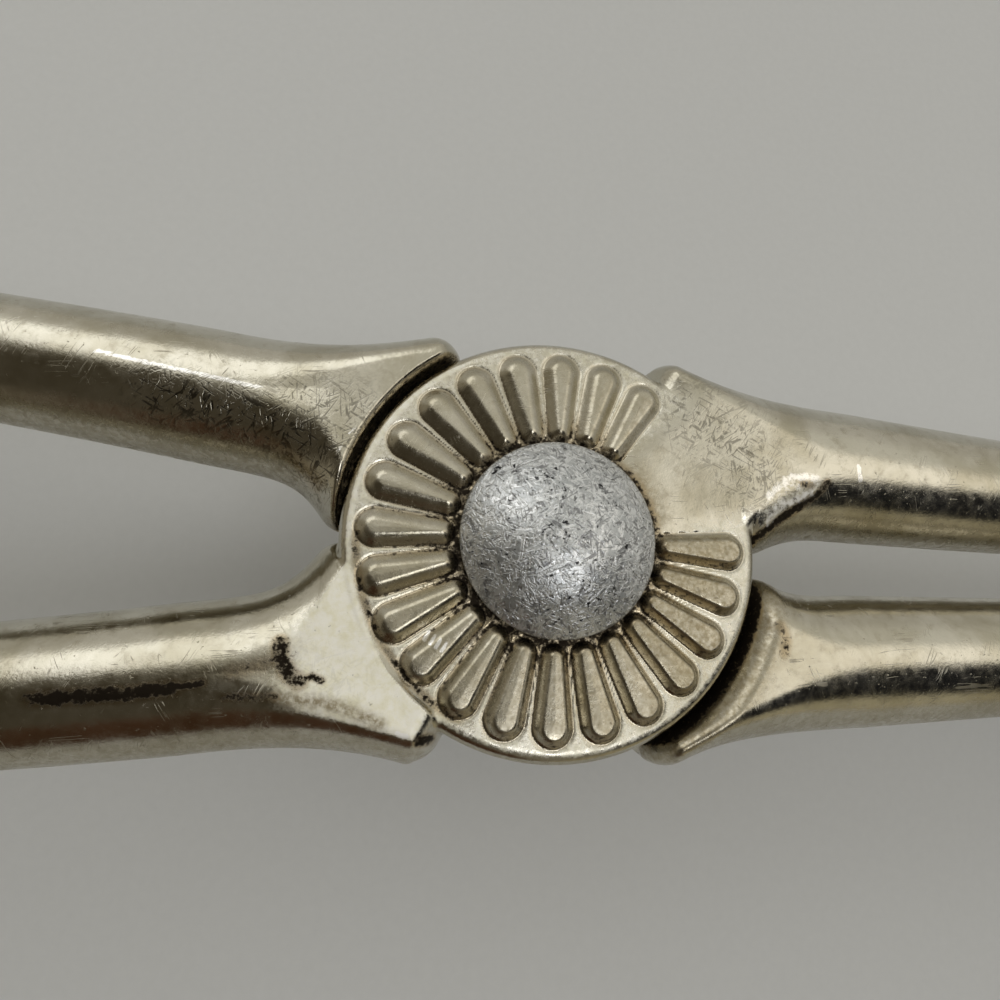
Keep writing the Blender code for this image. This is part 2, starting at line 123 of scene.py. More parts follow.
REAR_JAW = {
    **JAW, "offset": 6.45, "radius": 4.3, "stops": (3.3 * DEG, 63.8 * DEG),
    "outer": (2.2, 146 * DEG, 0.62, 0.20), "inner": (0.5, 220 * DEG, 0.46, 0.36),
}

# Petals round the disc, left out on the jaw's side. They are lower and softer on the worn side.
PETAL_PLACES = 24
PETAL_COUNT = 21
PETAL_FIRST = 59.0 * DEG
PETAL_HALF_ANGLE = 5.6 * DEG
PETAL_HEIGHT = 0.52
PETAL_CROWN = 0.05
PETAL_RUN = 0.42
PETAL_ENDS = (6.2, 11.75)
WORN_SIDE = 140.0 * DEG
WORN_RUN = 0.34
WORN_DROP = 0.34
GROOVE_DEPTH = 0.06
GROOVE_PLACE = -0.16
GROOVE_WIDTH = 0.12

# The plain field between the first and the last petal
FIELD_MIDDLE = 29.0 * DEG
FIELD_EDGES = (14.0 * DEG, 23.5 * DEG)
FIELD_STEP = 0.04
FIELD_RISE_FROM_TO = (8.0, 17.0)
FIELD_JOIN_FROM_TO = (12.0, 14.5)
FIELD_REACH = 1.6

# Finger rings, spoon and fork
RING_CENTRE = (-89.67, -21.99)
RING_HALVES = (20.2, 15.7)
RING_TURN = 7.7 * DEG
RING_JOIN = 12.0 * DEG
RING_ROD = 3.2
RING_FILLET = 1.6
HEAD_LENGTH = 77.0
HEAD_WIDTH = 46.0
HEAD_DEPTH = 12.0
HEAD_WALL = 1.4
HEAD_TIP = 147.0
HEAD_FLARE = 0.08
HEAD_EDGE = 0.5
HEEL_RISE = 3.2
HEEL_START = 0.35
HEEL_GAP = 0.3
HEEL_EDGE = 0.4
HEEL_FILLET = 1.0
JAW_GAP = 1.8
TINES = 4
TINE_LENGTH = 0.56
TINE_TIP = 0.2
SLOT_SHARES = (0.32, 0.42)

# The heel behind a head: places along it from the head's middle, as shares of the half length,
# and there its distance from the long axis, half depth and half width
HEEL_ROWS = (
    (-1.26, 5.0, 3.2, 3.2),
    (-1.14, 5.0, 3.0, 3.3),
    (-0.97, 5.4, 2.3, 4.0),
    (-0.82, 7.6, 1.9, 4.6),
    (-0.62, 10.4, 1.2, 3.6),
    (-0.40, 12.6, 0.5, 0.8),
)

# Rivet and washer, turned about the pivot. The dome gives way to its rounded edge at a share of
# its arc, and its underside lies a gap above the seat.
RIVET_RADIUS = 5.9
RIVET_SEAT = 10.1
RIVET_TOP = 12.4
RIVET_GAP = 0.08
RIVET_EDGE = 0.4
RIVET_ROUNDING = 0.22
DOME_SHARE = 0.955
RIVET_SHANK = 2.5
TAIL_RADIUS = 3.6
TAIL_TOP = 0.9
TAIL_ROUNDING = 0.35
WASHER_RADIUS = 5.3
WASHER_FOOT = 1.2
WASHER_TOP = 2.2
WASHER_FOOT_ROUNDING = 0.25
WASHER_TOP_ROUNDING = 0.12

# Camera, from the photographed ring of petals: its lens as image widths, and its place from
# the middle of the petals' tops
LENS_IMAGE_WIDTHS = 0.70
CAMERA_PLACE = (-9.76, -7.26, 49.95)
CAMERA_PITCH = -12.9 * DEG
CAMERA_YAW = 9.2 * DEG
CAMERA_ROLL = -1.5 * DEG

ARC_RADIUS = DISC_RADIUS + RUNNING_GAP
HEAD_MIDDLE = HEAD_TIP - HEAD_LENGTH / 2


# Shape arithmetic: each function gives a signed distance, negative inside


def round_and(a, b, size):
    """What is inside both, its edge rounded."""
    over = np.maximum(a + size, 0) ** 2 + np.maximum(b + size, 0) ** 2
    return np.minimum(np.maximum(a, b), -size) + np.sqrt(over)


def round_or(a, b, size):
    """What is inside either, its inner corner filled."""
    return -round_and(-a, -b, size)


def step(low, high, value):
    """A smooth rise from 0 at low to 1 at high."""
    share = np.clip((value - low) / (high - low), 0, 1)
    return share * share * (3 - 2 * share)


def bell(value, middle, width):
    """1 at a middle value, fading to 0 on both sides of it."""
    return np.exp(-(((value - middle) / width) ** 2))


def polar(radius, angle):
    return np.array((radius * math.cos(angle), radius * math.sin(angle)))


def bezier(start, start_way, end, end_way, reach, shares):
    """Points of a plan curve that leaves along one way and arrives along another."""
    share = shares[:, None]
    back = 1 - share
    first = start + start_way * reach
    second = end - end_way * reach
    ends = start * back**3 + end * share**3
    return ends + first * 3 * back**2 * share + second * 3 * back * share**2


def limb_edges(limb, far, far_way):
    """Tables over x of a limb's two edges in plan, pointing along +x, from tip to horns."""
    root = np.array((ARC_RADIUS + SHOULDER_LENGTH, limb["offset"]))
    way = polar(1, limb["way"])
    side = np.array((-way[1], way[0]))
    shares = np.linspace(0, 1, CURVE_POINTS)
    reach = np.linalg.norm(far - root) / 3
    middle = bezier(far, -far_way, root, -way, reach, shares)
    along = -np.gradient(middle, axis=0)
    along /= np.linalg.norm(along, axis=1)[:, None]
    normal = np.stack((-along[:, 1], along[:, 0]), axis=1)
    size = limb["end_radius"] + (limb["radius"] - limb["end_radius"]) * shares
    tables = []
    low_stop, high_stop = limb["stops"]
    for sign, name, angle in ((1, "outer", high_stop), (-1, "inner", low_stop)):
        stand, arrive, first_reach, second_reach = limb[name]
        horn = polar(ARC_RADIUS + stand, angle)
        horn_way = polar(1, arrive)
        start = root + side * sign * limb["radius"]
        chord = np.linalg.norm(horn - start)
        flare = bezier(start, -way * first_reach, horn, horn_way * second_reach, chord, shares)
        past = (horn + horn_way * ARC_RADIUS * HORN_OVERRUN)[None]
        line = np.concatenate((middle + normal * sign * size[:, None], flare[1:], past))[::-1]
        tables.append((line[:, 0], line[:, 1], np.gradient(line[:, 1], line[:, 0])))
    heights = size + (HALF_ARM - limb["radius"]) * shares
    return {
        "stops": limb["stops"], "edges": tables,
        "x": middle[::-1, 0], "size": size[::-1], "height": heights[::-1],
    }


def ring_join():
    """Where a handle meets its finger ring, and the way it arrives there."""
    centre = np.array(RING_CENTRE)
    ahead = polar(RING_HALVES[0] * math.cos(RING_JOIN), RING_TURN)
    inward = polar(RING_HALVES[1] * math.sin(RING_JOIN), RING_TURN + math.pi / 2)
    out = ahead + inward
    return centre + out, out / np.linalg.norm(out)


JOIN, JOIN_WAY = ring_join()
HANDLE_TABLES = [limb_edges(limb, -JOIN, JOIN_WAY) for limb in (REAR_HANDLE, FRONT_HANDLE)]
JAW_TABLES = [limb_edges(limb, np.array(JAW_END), polar(1, 0)) for limb in (REAR_JAW, FRONT_JAW)]


def limb_shape(table, x, y, z, edge, scoop=0.0, tilt=0.0, top=HALF_ARM):
    """A round shank that flattens and flares into a shoulder with two horns."""
    inside = []
    for sign, (xs, ys, slopes) in zip((1, -1), table["edges"]):
        lean = np.interp(x, xs, slopes)
        inside.append(sign * (np.interp(x, xs, ys) - y) / np.sqrt(1 + lean * lean))
    radius = np.hypot(x, y)
    clear = np.maximum(radius - HORN_END, 0) * HORN_CLEARING
    low_stop, high_stop = table["stops"]
    high = x * math.sin(high_stop) - y * math.cos(high_stop) + clear
    low = y * math.cos(low_stop) - x * math.sin(low_stop) + clear
    outer = -round_and(-inside[0], -high, HORN_ROUNDING)
    inner = -round_and(-inside[1], -low, INNER_HORN_ROUNDING)
    depth = np.minimum(outer, inner)
    size = np.interp(x, table["x"], table["size"])
    height = np.interp(x, table["x"], table["height"])
    rounding = edge + (size - edge) * step(*ROUND_FROM_TO, x)
    flat = 1 - step(*FLAT_FROM_TO, x)
    dish = scoop * step(0.0, SCOOP_RUN, depth - rounding * 0.8) * flat
    drop = tilt * np.clip(inside[0] - rounding, 0, TILT_REACH) * flat
    height = np.where(z > 0, np.minimum(height - drop, top), height) - dish
    rim = np.maximum(rounding - depth, 0) / rounding
    return (np.sqrt(rim * rim + (z / height) ** 2) - 1) * np.minimum(rounding, height)


def petal_depth(radius, angle):
    """Distance inside the nearest petal's outline, negative outside it."""
    pitch = 2 * math.pi / PETAL_PLACES
    place = (angle - PETAL_FIRST) / pitch
    nearest = np.round(place)
    turn = (place - nearest) * pitch
    swell = math.sin(PETAL_HALF_ANGLE)
    inner = PETAL_ENDS[0] / (1 - swell)
    outer = PETAL_ENDS[1] / (1 + swell)
    along = radius * np.cos(turn)
    across = np.abs(radius * np.sin(turn))
    side = along * swell - across * math.cos(PETAL_HALF_ANGLE)
    edge = along * math.cos(PETAL_HALF_ANGLE) + across * swell
    tip = outer * swell - np.hypot(along - outer, across)
    root = inner * swell - np.hypot(along - inner, across)
    depth = np.where(edge > outer * math.cos(PETAL_HALF_ANGLE), tip, side)
    depth = np.where(edge < inner * math.cos(PETAL_HALF_ANGLE), root, depth)
    return np.where(np.mod(nearest, PETAL_PLACES) < PETAL_COUNT, depth, -2.0)


def field_share(angle):
    """1 on the plain stretch of the disc beside the jaw, 0 elsewhere."""
    aside = np.abs(np.mod(angle - FIELD_MIDDLE + math.pi, 2 * math.pi) - math.pi)
    return 1 - step(*FIELD_EDGES, aside)


def field_top(radius, angle):
    """The jaw's flat, running down to the disc's land between the first and the last petal."""
    share = field_share(angle)
    share = share + (1 - share) * step(*FIELD_JOIN_FROM_TO, radius)
    rise = (HALF_ARM - LAND - FIELD_STEP) * step(*FIELD_RISE_FROM_TO, radius)
    return LAND + share * (FIELD_STEP + rise)


def disc_top(radius, angle):
    """Height of the disc's face: petals, the grooves round them and the plain field."""
    depth = petal_depth(radius, angle)
    worn = 0.5 + 0.5 * np.cos(angle - WORN_SIDE)
    run = PETAL_RUN + WORN_RUN * worn
    rise = PETAL_HEIGHT * (1 - WORN_DROP * worn)
    foot = 0.5 * (depth + np.sqrt(depth * depth + 0.012))
    petal = np.sin(np.clip(foot / run, 0, 1) * math.pi / 2) * rise
    petal = (petal + PETAL_CROWN * np.clip(depth, 0, 1)) * step(-0.4, -0.1, depth)
    groove = GROOVE_DEPTH * bell(depth, GROOVE_PLACE, GROOVE_WIDTH)
    return field_top(radius, angle) + petal - groove


def arm_shape(x, y, z, front):
    """One arm with its finger ring: handle, jaw, disc and petals in one casting."""
    radius = np.hypot(x, y)
    angle = np.arctan2(y, x)
    field = field_share(angle)
    handle = limb_shape(
        HANDLE_TABLES[front], -x, -y, z, HANDLE_EDGE, scoop=HANDLE_SCOOP, tilt=HANDLE_TILT
    )
    handle = round_and(handle, JOIN[0] - x, HANDLE_END_EDGES[0])
    handle = round_and(handle, LIMB_START - radius, HANDLE_END_EDGES[1])
    jaw = limb_shape(JAW_TABLES[front], x, y, z, JAW_EDGE, top=field_top(radius, angle))
    jaw = round_and(jaw, x - JAW_END[0], JAW_END_EDGES[0])
    jaw = round_and(jaw, LIMB_START - radius, JAW_END_EDGES[1])
    edge = DISC_RADIUS + RIM + (FIELD_REACH - RIM) * field
    disc = round_and(radius - edge, z - disc_top(radius, angle), DISC_EDGE)
    disc = np.maximum(disc, DISC_FOOT - z)
    arm = round_or(np.minimum(handle, jaw), disc, DISC_FILLET - DISC_FILLET_DROP * field)
    lap = np.maximum(radius - ARC_RADIUS, z - LAP_GAP)
    by_jaw = step(*LAP_EDGE_FROM_TO, radius) * step(*JAW_SIDE_FROM_TO, x)
    arm = round_and(arm, -lap, LAP_EDGE + LAP_EDGE_BY_JAW * by_jaw)
    return round_or(arm, ring_shape(x, y, z), RING_FILLET)


def ring_shape(x, y, z):
    """An oval finger ring of round rod."""
    aside_x = x - RING_CENTRE[0]
    aside_y = y - RING_CENTRE[1]
    along = (aside_x * math.cos(RING_TURN) + aside_y * math.sin(RING_TURN)) / RING_HALVES[0]
    across = (aside_y * math.cos(RING_TURN) - aside_x * math.sin(RING_TURN)) / RING_HALVES[1]
    out = np.hypot(along, across) + 1e-6
    lean = np.hypot(along / RING_HALVES[0], across / RING_HALVES[1]) + 1e-6
    away = out * (out - 1) / lean
    return np.hypot(away, z) - RING_ROD


def head_shape(x, y, z, forked):
    """A cupped shell with a neck and heel; slots part the tines of the fork."""
    half_length = HEAD_LENGTH / 2 - HEAD_WALL
    half_width = HEAD_WIDTH / 2 - HEAD_WALL
    along = (x - HEAD_MIDDLE) / half_length
    across = z / (half_width * (1 + HEAD_FLARE * along))
    rise = HEEL_RISE * (np.maximum(0, -along - HEEL_START) / (1 - HEEL_START)) ** 2
    cup = JAW_GAP / 2 + rise + (HEAD_DEPTH - rise) * (1 - along**2 - across**2)
    lean_x = 2 * HEAD_DEPTH * along / half_length
    lean_z = 2 * HEAD_DEPTH * across / half_width
    through = (y - cup) / np.sqrt(1 + lean_x**2 + lean_z**2)
    shell = np.abs(through - HEAD_WALL / 2) - HEAD_WALL / 2
    shell = round_and(shell, JAW_GAP / 2 + rise - y, HEAD_EDGE)
    shares, *sizes = np.array(HEEL_ROWS).T
    stations = HEAD_MIDDLE + half_length * shares
    back, deep, wide = (np.interp(x, stations, size) for size in sizes)
    heel = (np.sqrt(((y - back) / deep) ** 2 + (z / wide) ** 2) - 1) * np.minimum(deep, wide)
    heel = round_and(heel, np.maximum(JAW_END[0] + HEEL_GAP - x, x - stations[-1]), HEEL_EDGE)
    head = round_or(shell, heel, HEEL_FILLET)
    if forked:
        pitch = HEAD_WIDTH / TINES
        root = HEAD_TIP - HEAD_LENGTH * TINE_LENGTH
        bend = HEAD_TIP - HEAD_LENGTH * TINE_TIP
        open_share = np.clip((x - bend) / (HEAD_TIP - bend), 0, 1)
        half = pitch * (SLOT_SHARES[0] + SLOT_SHARES[1] * open_share) / 2
        nearest = np.clip(np.round(z / pitch), 1 - TINES / 2, TINES / 2 - 1) * pitch
        slot = np.hypot(np.minimum(x - root, 0), z - nearest) - half
        head = round_and(head, -slot, HEAD_EDGE)
    return head


# Meshes


def spaced(*stretches):
    """Grid places from stretches of (start, end, spacing)."""
    places = [np.arange(start, end, gap) for start, end, gap in stretches]
    return np.concatenate(places + [np.array([stretches[-1][1]])])


def net(shape, axes):
    """A closed mesh of quads over a shape's surface, one vertex in each grid cell it crosses."""
    xs, ys, zs = (axis.astype(np.float32) for axis in axes)
    values = shape(xs[:, None, None], ys[None, :, None], zs[None, None, :]).astype(np.float32)
    inside = values < 0
    near = [slice(None, -1), slice(1, None)]
    count = sum(
        inside[near[i], near[j], near[k]].astype(np.int8)
        for i in (0, 1) for j in (0, 1) for k in (0, 1)
    )
    active = (count > 0) & (count < 8)
    cells = np.argwhere(active)
    index = np.full(active.shape, -1, np.int32)
    index[active] = np.arange(len(cells))
    corners = [(i, j, k) for i in (0, 1) for j in (0, 1) for k in (0, 1)]
    grid = np.stack(
        [values[cells[:, 0] + i, cells[:, 1] + j, cells[:, 2] + k] for i, j, k in corners]
    )
    spots = [
        np.stack((xs[cells[:, 0] + i], ys[cells[:, 1] + j], zs[cells[:, 2] + k]), axis=1)
        for i, j, k in corners
    ]
    total = np.zeros((len(cells), 3))
    hits = np.zeros(len(cells))
    for a in range(8):
        for b in range(a + 1, 8):
            if sum(abs(p - q) for p, q in zip(corners[a], corners[b])) != 1:
                continue
            crossed = (grid[a] < 0) != (grid[b] < 0)
            gap = np.where(crossed, grid[a] - grid[b], 1.0)
            share = np.where(crossed, grid[a] / gap, 0.0)[:, None]
            total += np.where(crossed[:, None], spots[a] + (spots[b] - spots[a]) * share, 0.0)
            hits += crossed
    points = total / hits[:, None]
    quads = []
    for axis in range(3):
        here = [slice(1, -1)] * 3
        ahead = [slice(1, -1)] * 3
        here[axis] = slice(0, -1)
        ahead[axis] = slice(1, None)
        first = inside[tuple(here)]
        second = inside[tuple(ahead)]
        u, v = [a for a in range(3) if a != axis]
        for turned in (False, True):
            edge = np.argwhere((first & ~second) if not turned else (~first & second))
            edge += np.array([0 if a == axis else 1 for a in range(3)])
            around = []
            for du, dv in ((-1, -1), (0, -1), (0, 0), (-1, 0)):
                cell = edge.copy()
                cell[:, u] += du
                cell[:, v] += dv
                around.append(index[cell[:, 0], cell[:, 1], cell[:, 2]])
            flip = turned != (axis == 1)
            quads.append(np.stack(around[::-1] if flip else around, axis=1))
    return points, np.concatenate(quads)


def slope(shape, points, reach=0.02):
    """A shape's value and gradient at points."""
    gradient = np.empty_like(points)
    for axis in range(3):
        off = np.zeros(3)
        off[axis] = reach
        gradient[:, axis] = shape(*(points + off).T) - shape(*(points - off).T)
    return shape(*points.T), gradient / (2 * reach)


def settle(shape, points, most=0.15):
    """Points drawn onto a shape's surface, and the surface's normals there."""
    for _ in range(3):
        value, gradient = slope(shape, points)
        size = np.maximum((gradient**2).sum(axis=1), 0.05)
        points = points - gradient * np.clip(value / size, -most, most)[:, None]
    gradient = slope(shape, points)[1]
    return points, gradient / np.maximum(np.linalg.norm(gradient, axis=1), 1e-6)[:, None]


def mesh_piece(name, points, quads, normals, rear, masks=None):
    """A smooth mesh object from arm-frame points, placed for the front or the rear arm."""
    turn = np.array((1.0, -1.0, -1.0)) if rear else np.ones(3)
    places = points * turn + np.array((0, 0, LAP_HEIGHT))
    mesh = bpy.data.meshes.new(name)
    mesh.vertices.add(len(places))
    mesh.vertices.foreach_set("co", (places * MM).astype(np.float32).ravel())
    mesh.loops.add(quads.size)
    mesh.loops.foreach_set("vertex_index", quads.astype(np.int32).ravel())
    mesh.polygons.add(len(quads))
    mesh.polygons.foreach_set("loop_start", np.arange(0, quads.size, 4, dtype=np.int32))
    mesh.polygons.foreach_set("use_smooth", np.ones(len(quads), dtype=bool))
    mesh.update(calc_edges=True)
    mesh.validate()
    mesh.normals_split_custom_set_from_vertices((normals * turn).tolist())
    for mask, values in (masks or {}).items():
        layer = mesh.attributes.new(mask, "FLOAT", "POINT")
        layer.data.foreach_set("value", np.asarray(values, dtype=np.float32))
    piece = bpy.data.objects.new(name, mesh)
    bpy.context.scene.collection.objects.link(piece)
    return piece


def turned_piece(name, profile, sides=120):
    """A profile of (radius, height) from the axis round to the axis, turned about the pivot."""
    rows = [(r, h) for r, h in profile if r > 0]
    angles = np.arange(sides) * 2 * math.pi / sides
    points = [(0, 0, profile[0][1])]
    for radius, height in rows:
        points += [(radius * math.cos(a), radius * math.sin(a), height) for a in angles]
    points.append((0, 0, profile[-1][1]))
    last = len(points) - 1
    faces = []
    for i in range(sides):
        j = (i + 1) % sides
        faces.append((0, 1 + i, 1 + j))
        for row in range(len(rows) - 1):
            a, b = 1 + row * sides, 1 + (row + 1) * sides
            faces.append((a + i, b + i, b + j, a + j))
        foot = 1 + (len(rows) - 1) * sides
        faces.append((foot + i, last, foot + j))
    mesh = bpy.data.meshes.new(name)
    mesh.from_pydata([tuple(c * MM for c in p) for p in points], [], faces)
    mesh.shade_smooth()
    mesh.update()
    piece = bpy.data.objects.new(name, mesh)
    bpy.context.scene.collection.objects.link(piece)
    return piece


def arc(middle, radius, start, end, count):
    turns = np.linspace(start, end, count) * DEG
    return [(middle[0] + radius * math.cos(t), middle[1] + radius * math.sin(t)) for t in turns]


# Materials


# Each metal's pale and deep colour
CAST_COLOURS = ((0.63, 0.605, 0.52, 1), (0.46, 0.43, 0.335, 1))
STAMPED_COLOURS = ((0.78, 0.75, 0.66, 1), (0.60, 0.56, 0.47, 1))
RIVET_COLOURS = ((0.60, 0.62, 0.635, 1), (0.45, 0.47, 0.485, 1))
WASHER_COLOURS = ((0.44, 0.45, 0.47, 1), (0.30, 0.31, 0.33, 1))

# Wear on silver, with painted shade, dark reflections and highlights in some of its colours
SPOT_BROWN = (0.40, 0.365, 0.28, 1)
SCRATCH_BROWN = (0.20, 0.17, 0.13, 1)
CREAM_PALE = (0.97, 0.955, 0.87, 1)
CREAM_DEEP = (0.88, 0.85, 0.66, 1)
SCUFF_DARK = (0.045, 0.038, 0.028, 1)
FILM_AND_SHADE_BROWN = (0.30, 0.255, 0.165, 1)
PIT_BROWN = (0.15, 0.12, 0.08, 1)
GRIME_AND_SHADE_GOLD = (0.33, 0.25, 0.14, 1)
DIRT_AND_SHADE_BLACK = (0.028, 0.022, 0.016, 1)
BARE_AND_GLINT_WHITE = (0.95, 0.94, 0.91, 1)

# Wear on the rivet and the washer
GREY_MOTTLE = (0.30, 0.31, 0.33, 1)
GREY_BRIGHT = (0.90, 0.92, 0.94, 1)
GREY_SCRATCH = (0.14, 0.14, 0.15, 1)
GREY_PIT = (0.030, 0.030, 0.034, 1)


class Nodes:
    """A material's node tree, with short ways to add and join nodes."""

    def __init__(self, name):
        self.material = bpy.data.materials.new(name)
        self.material.use_nodes = True
        self.tree = self.material.node_tree
        self.shader = self.tree.nodes["Principled BSDF"]

    def set(self, socket, value):
        if isinstance(value, bpy.types.NodeSocket):
            self.tree.links.new(value, socket)
        elif value is not None:
            socket.default_value = value

    def add(self, kind, out, inputs, **settings):
        node = self.tree.nodes.new(kind)
        for name, value in settings.items():
            setattr(node, name, value)
        for name, value in inputs.items():
            self.set(node.inputs[name], value)
        return node.outputs[out]

    def math(self, operation, a, b=None):
        return self.add("ShaderNodeMath", 0, {0: a, 1: b}, operation=operation)

    def place(self):
        """Places on the piece, in millimetres."""
        spot = self.add("ShaderNodeTexCoord", "Object", {})
        return self.add(
            "ShaderNodeVectorMath", 0, {0: spot, 1: (1 / MM, 1 / MM, 1 / MM)}, operation="MULTIPLY"
        )

    def stretch(self, place, scale, turn):
        """Places turned and stretched, so that a noise on them runs in streaks."""
        inputs = {"Vector": place, "Rotation": turn, "Scale": [1 / share for share in scale]}
        return self.add("ShaderNodeMapping", 0, inputs, vector_type="TEXTURE")

    def noise(self, place, scale, detail=2.0, rough=0.5, warp=0.0):
        inputs = {
            "Vector": place, "Scale": scale,
            "Detail": detail, "Roughness": rough, "Distortion": warp,
        }
        return self.add("ShaderNodeTexNoise", 0, inputs)

    def ramp(self, value, low, high, out_low=0.0, out_high=1.0):
        inputs = {0: value, 1: low, 2: high, 3: out_low, 4: out_high}
        return self.add("ShaderNodeMapRange", 0, inputs, interpolation_type="SMOOTHSTEP")

    def mix(self, share, a, b):
        node = self.tree.nodes.new("ShaderNodeMix")
        node.data_type = "RGBA"
        self.set(node.inputs[0], share)
        self.set(node.inputs[6], a)
        self.set(node.inputs[7], b)
        return node.outputs[2]

    def mask(self, name):
        return self.add("ShaderNodeAttribute", "Fac", {}, attribute_name=name)

    def bump(self, height, strength, distance):
        inputs = {"Height": height, "Strength": strength, "Distance": distance * MM}
        return self.add("ShaderNodeBump", 0, inputs)


def scratches(nodes, place, turns, fine, draw, width, cut, cover):
    """Thin lines along several turns: where a noise, drawn out along each, passes its middle."""
    total = None
    for i, turn in enumerate(turns):
        along = nodes.stretch(place, (fine * draw, fine, fine * 0.3), (0, 0, turn * DEG))
        value = nodes.noise(along, 1.0, 1.0, 0.4, 0.2)
        off = nodes.math("ABSOLUTE", nodes.math("SUBTRACT", value, 0.5))
        patch = nodes.ramp(nodes.noise(place, cut * (1 + 0.17 * i), 2.0, 0.6), cover, cover + 0.10)
        line = nodes.math("MULTIPLY", nodes.ramp(off, width * 0.3, width, 1, 0), patch)
        total = line if total is None else nodes.math("MAXIMUM", total, line)
    return total


def silver(name, pale, deep, rough, marks=True):
    """Worn silver plate: yellowed patches, scratches, pits, and wear where the masks say, with
    painted shade and painted highlights among them.
    """
    nodes = Nodes(name)
    place = nodes.place()
    cloud = nodes.noise(place, 0.22, detail=4.0, rough=0.6, warp=0.4)
    mottle = nodes.noise(place, 1.4, detail=5.0, rough=0.65)
    grain = nodes.noise(place, 5.5, detail=4.0, rough=0.6)
    lines = scratches(
        nodes, place, (4, 63, 118), fine=2.4, draw=0.05, width=0.018, cut=0.45, cover=0.58
    )
    pits = nodes.ramp(nodes.noise(place, 3.4, detail=3.0, rough=0.7), 0.66, 0.74)
    colour = nodes.mix(nodes.ramp(cloud, 0.35, 0.7), pale, deep)
    spotted = nodes.ramp(mottle, 0.52, 0.72, 0.0, 0.5)
    colour = nodes.mix(spotted, colour, SPOT_BROWN)
    colour = nodes.mix(nodes.math("MULTIPLY", lines, 0.30), colour, SCRATCH_BROWN)
    roughness = nodes.ramp(mottle, 0.3, 0.75, rough - 0.04, rough + 0.12)
    roughness = nodes.math("ADD", roughness, nodes.math("MULTIPLY", lines, 0.2))
    metal = 1.0
    dents = nodes.math("MULTIPLY", lines, 0.25)
    if marks:
        colour, roughness, metal, dents = worn_and_painted_marks(
            nodes, place, mottle, pits, colour, roughness, dents
        )
    height = nodes.math("ADD", nodes.math("MULTIPLY", grain, 0.4), mottle)
    height = nodes.math("SUBTRACT", height, dents)
    height = nodes.math("SUBTRACT", height, nodes.math("MULTIPLY", pits, 0.8))
    nodes.set(nodes.shader.inputs["Base Color"], colour)
    nodes.set(nodes.shader.inputs["Metallic"], metal)
    nodes.set(nodes.shader.inputs["Roughness"], nodes.math("MINIMUM", roughness, 0.9))
    nodes.set(nodes.shader.inputs["Normal"], nodes.bump(height, strength=0.30, distance=0.05))
    return nodes.material


def worn_and_painted_marks(nodes, place, mottle, pits, colour, roughness, dents):
    """The masks' wear over a silver: matt flats, scuffs, a brown film, grime and bare metal, with
    painted shade and dark reflections in the film and grime, and a painted highlight in the
    matt and bare metal.
    """
    fleck = nodes.noise(place, 3.0, detail=6.0, rough=0.7)
    ragged = nodes.ramp(fleck, 0.28, 0.72, -0.34, 0.34)
    # This mask turns the silver a matt cream: matt wear, plus part of a painted highlight
    matt_and_glint = nodes.mask("matt_and_glint")
    matt_and_glint = nodes.ramp(nodes.math("ADD", matt_and_glint, nodes.math("MULTIPLY", ragged, 0.6)), 0.15, 0.9)
    cream = nodes.mix(nodes.ramp(mottle, 0.35, 0.7), CREAM_PALE, CREAM_DEEP)
    colour = nodes.mix(nodes.math("MULTIPLY", matt_and_glint, 0.8), colour, cream)
    hatch = scratches(
        nodes, place, (28, 151, 96, 60), fine=2.6, draw=0.10, width=0.042, cut=1.2, cover=0.48
    )
    hatch = nodes.math("MULTIPLY", hatch, nodes.mask("scuff"))
    colour = nodes.mix(nodes.math("MULTIPLY", hatch, 0.85), colour, SCUFF_DARK)
    # This mask browns the silver: a real film, plus painted shade and a painted dark reflection
    film_and_shade = nodes.math("MULTIPLY", nodes.mask("film_and_shade"), nodes.ramp(fleck, 0.3, 0.7, 1.15, 0.35))
    colour = nodes.mix(film_and_shade, colour, FILM_AND_SHADE_BROWN)
    colour = nodes.mix(nodes.math("MULTIPLY", pits, 0.5), colour, PIT_BROWN)
    # This mask turns the silver gold, then black: real grime, plus painted shade and painted dark
    # reflections
    grime_and_shade = nodes.mask("grime_and_shade")
    colour = nodes.mix(nodes.ramp(grime_and_shade, 0.02, 0.5, 0.0, 0.6), colour, GRIME_AND_SHADE_GOLD)
    held = nodes.math("MULTIPLY", ragged, nodes.ramp(grime_and_shade, 0.03, 0.25))
    dirt_and_shade = nodes.ramp(nodes.math("ADD", grime_and_shade, held), 0.34, 0.78)
    colour = nodes.mix(dirt_and_shade, colour, DIRT_AND_SHADE_BLACK)
    # This mask whitens the silver: bare metal, plus painted highlights
    bare_and_glint = nodes.math("ADD", nodes.mask("bare_and_glint"), nodes.math("MULTIPLY", ragged, 0.5))
    bare_and_glint = nodes.ramp(bare_and_glint, 0.40, 0.70)
    colour = nodes.mix(nodes.math("MULTIPLY", bare_and_glint, 0.9), colour, BARE_AND_GLINT_WHITE)
    for wear_and_shade, roughening in ((dirt_and_shade, 0.35), (matt_and_glint, 0.28), (film_and_shade, 0.20)):
        roughness = nodes.math("ADD", roughness, nodes.math("MULTIPLY", wear_and_shade, roughening))
    chalky = nodes.math("MULTIPLY", matt_and_glint, nodes.ramp(dirt_and_shade, 0.0, 1.0, 0.75, 0.0))
    metal = nodes.math("SUBTRACT", 1.0, chalky)
    dents = nodes.math("ADD", dents, nodes.math("MULTIPLY", hatch, 0.6))
    return colour, roughness, metal, dents


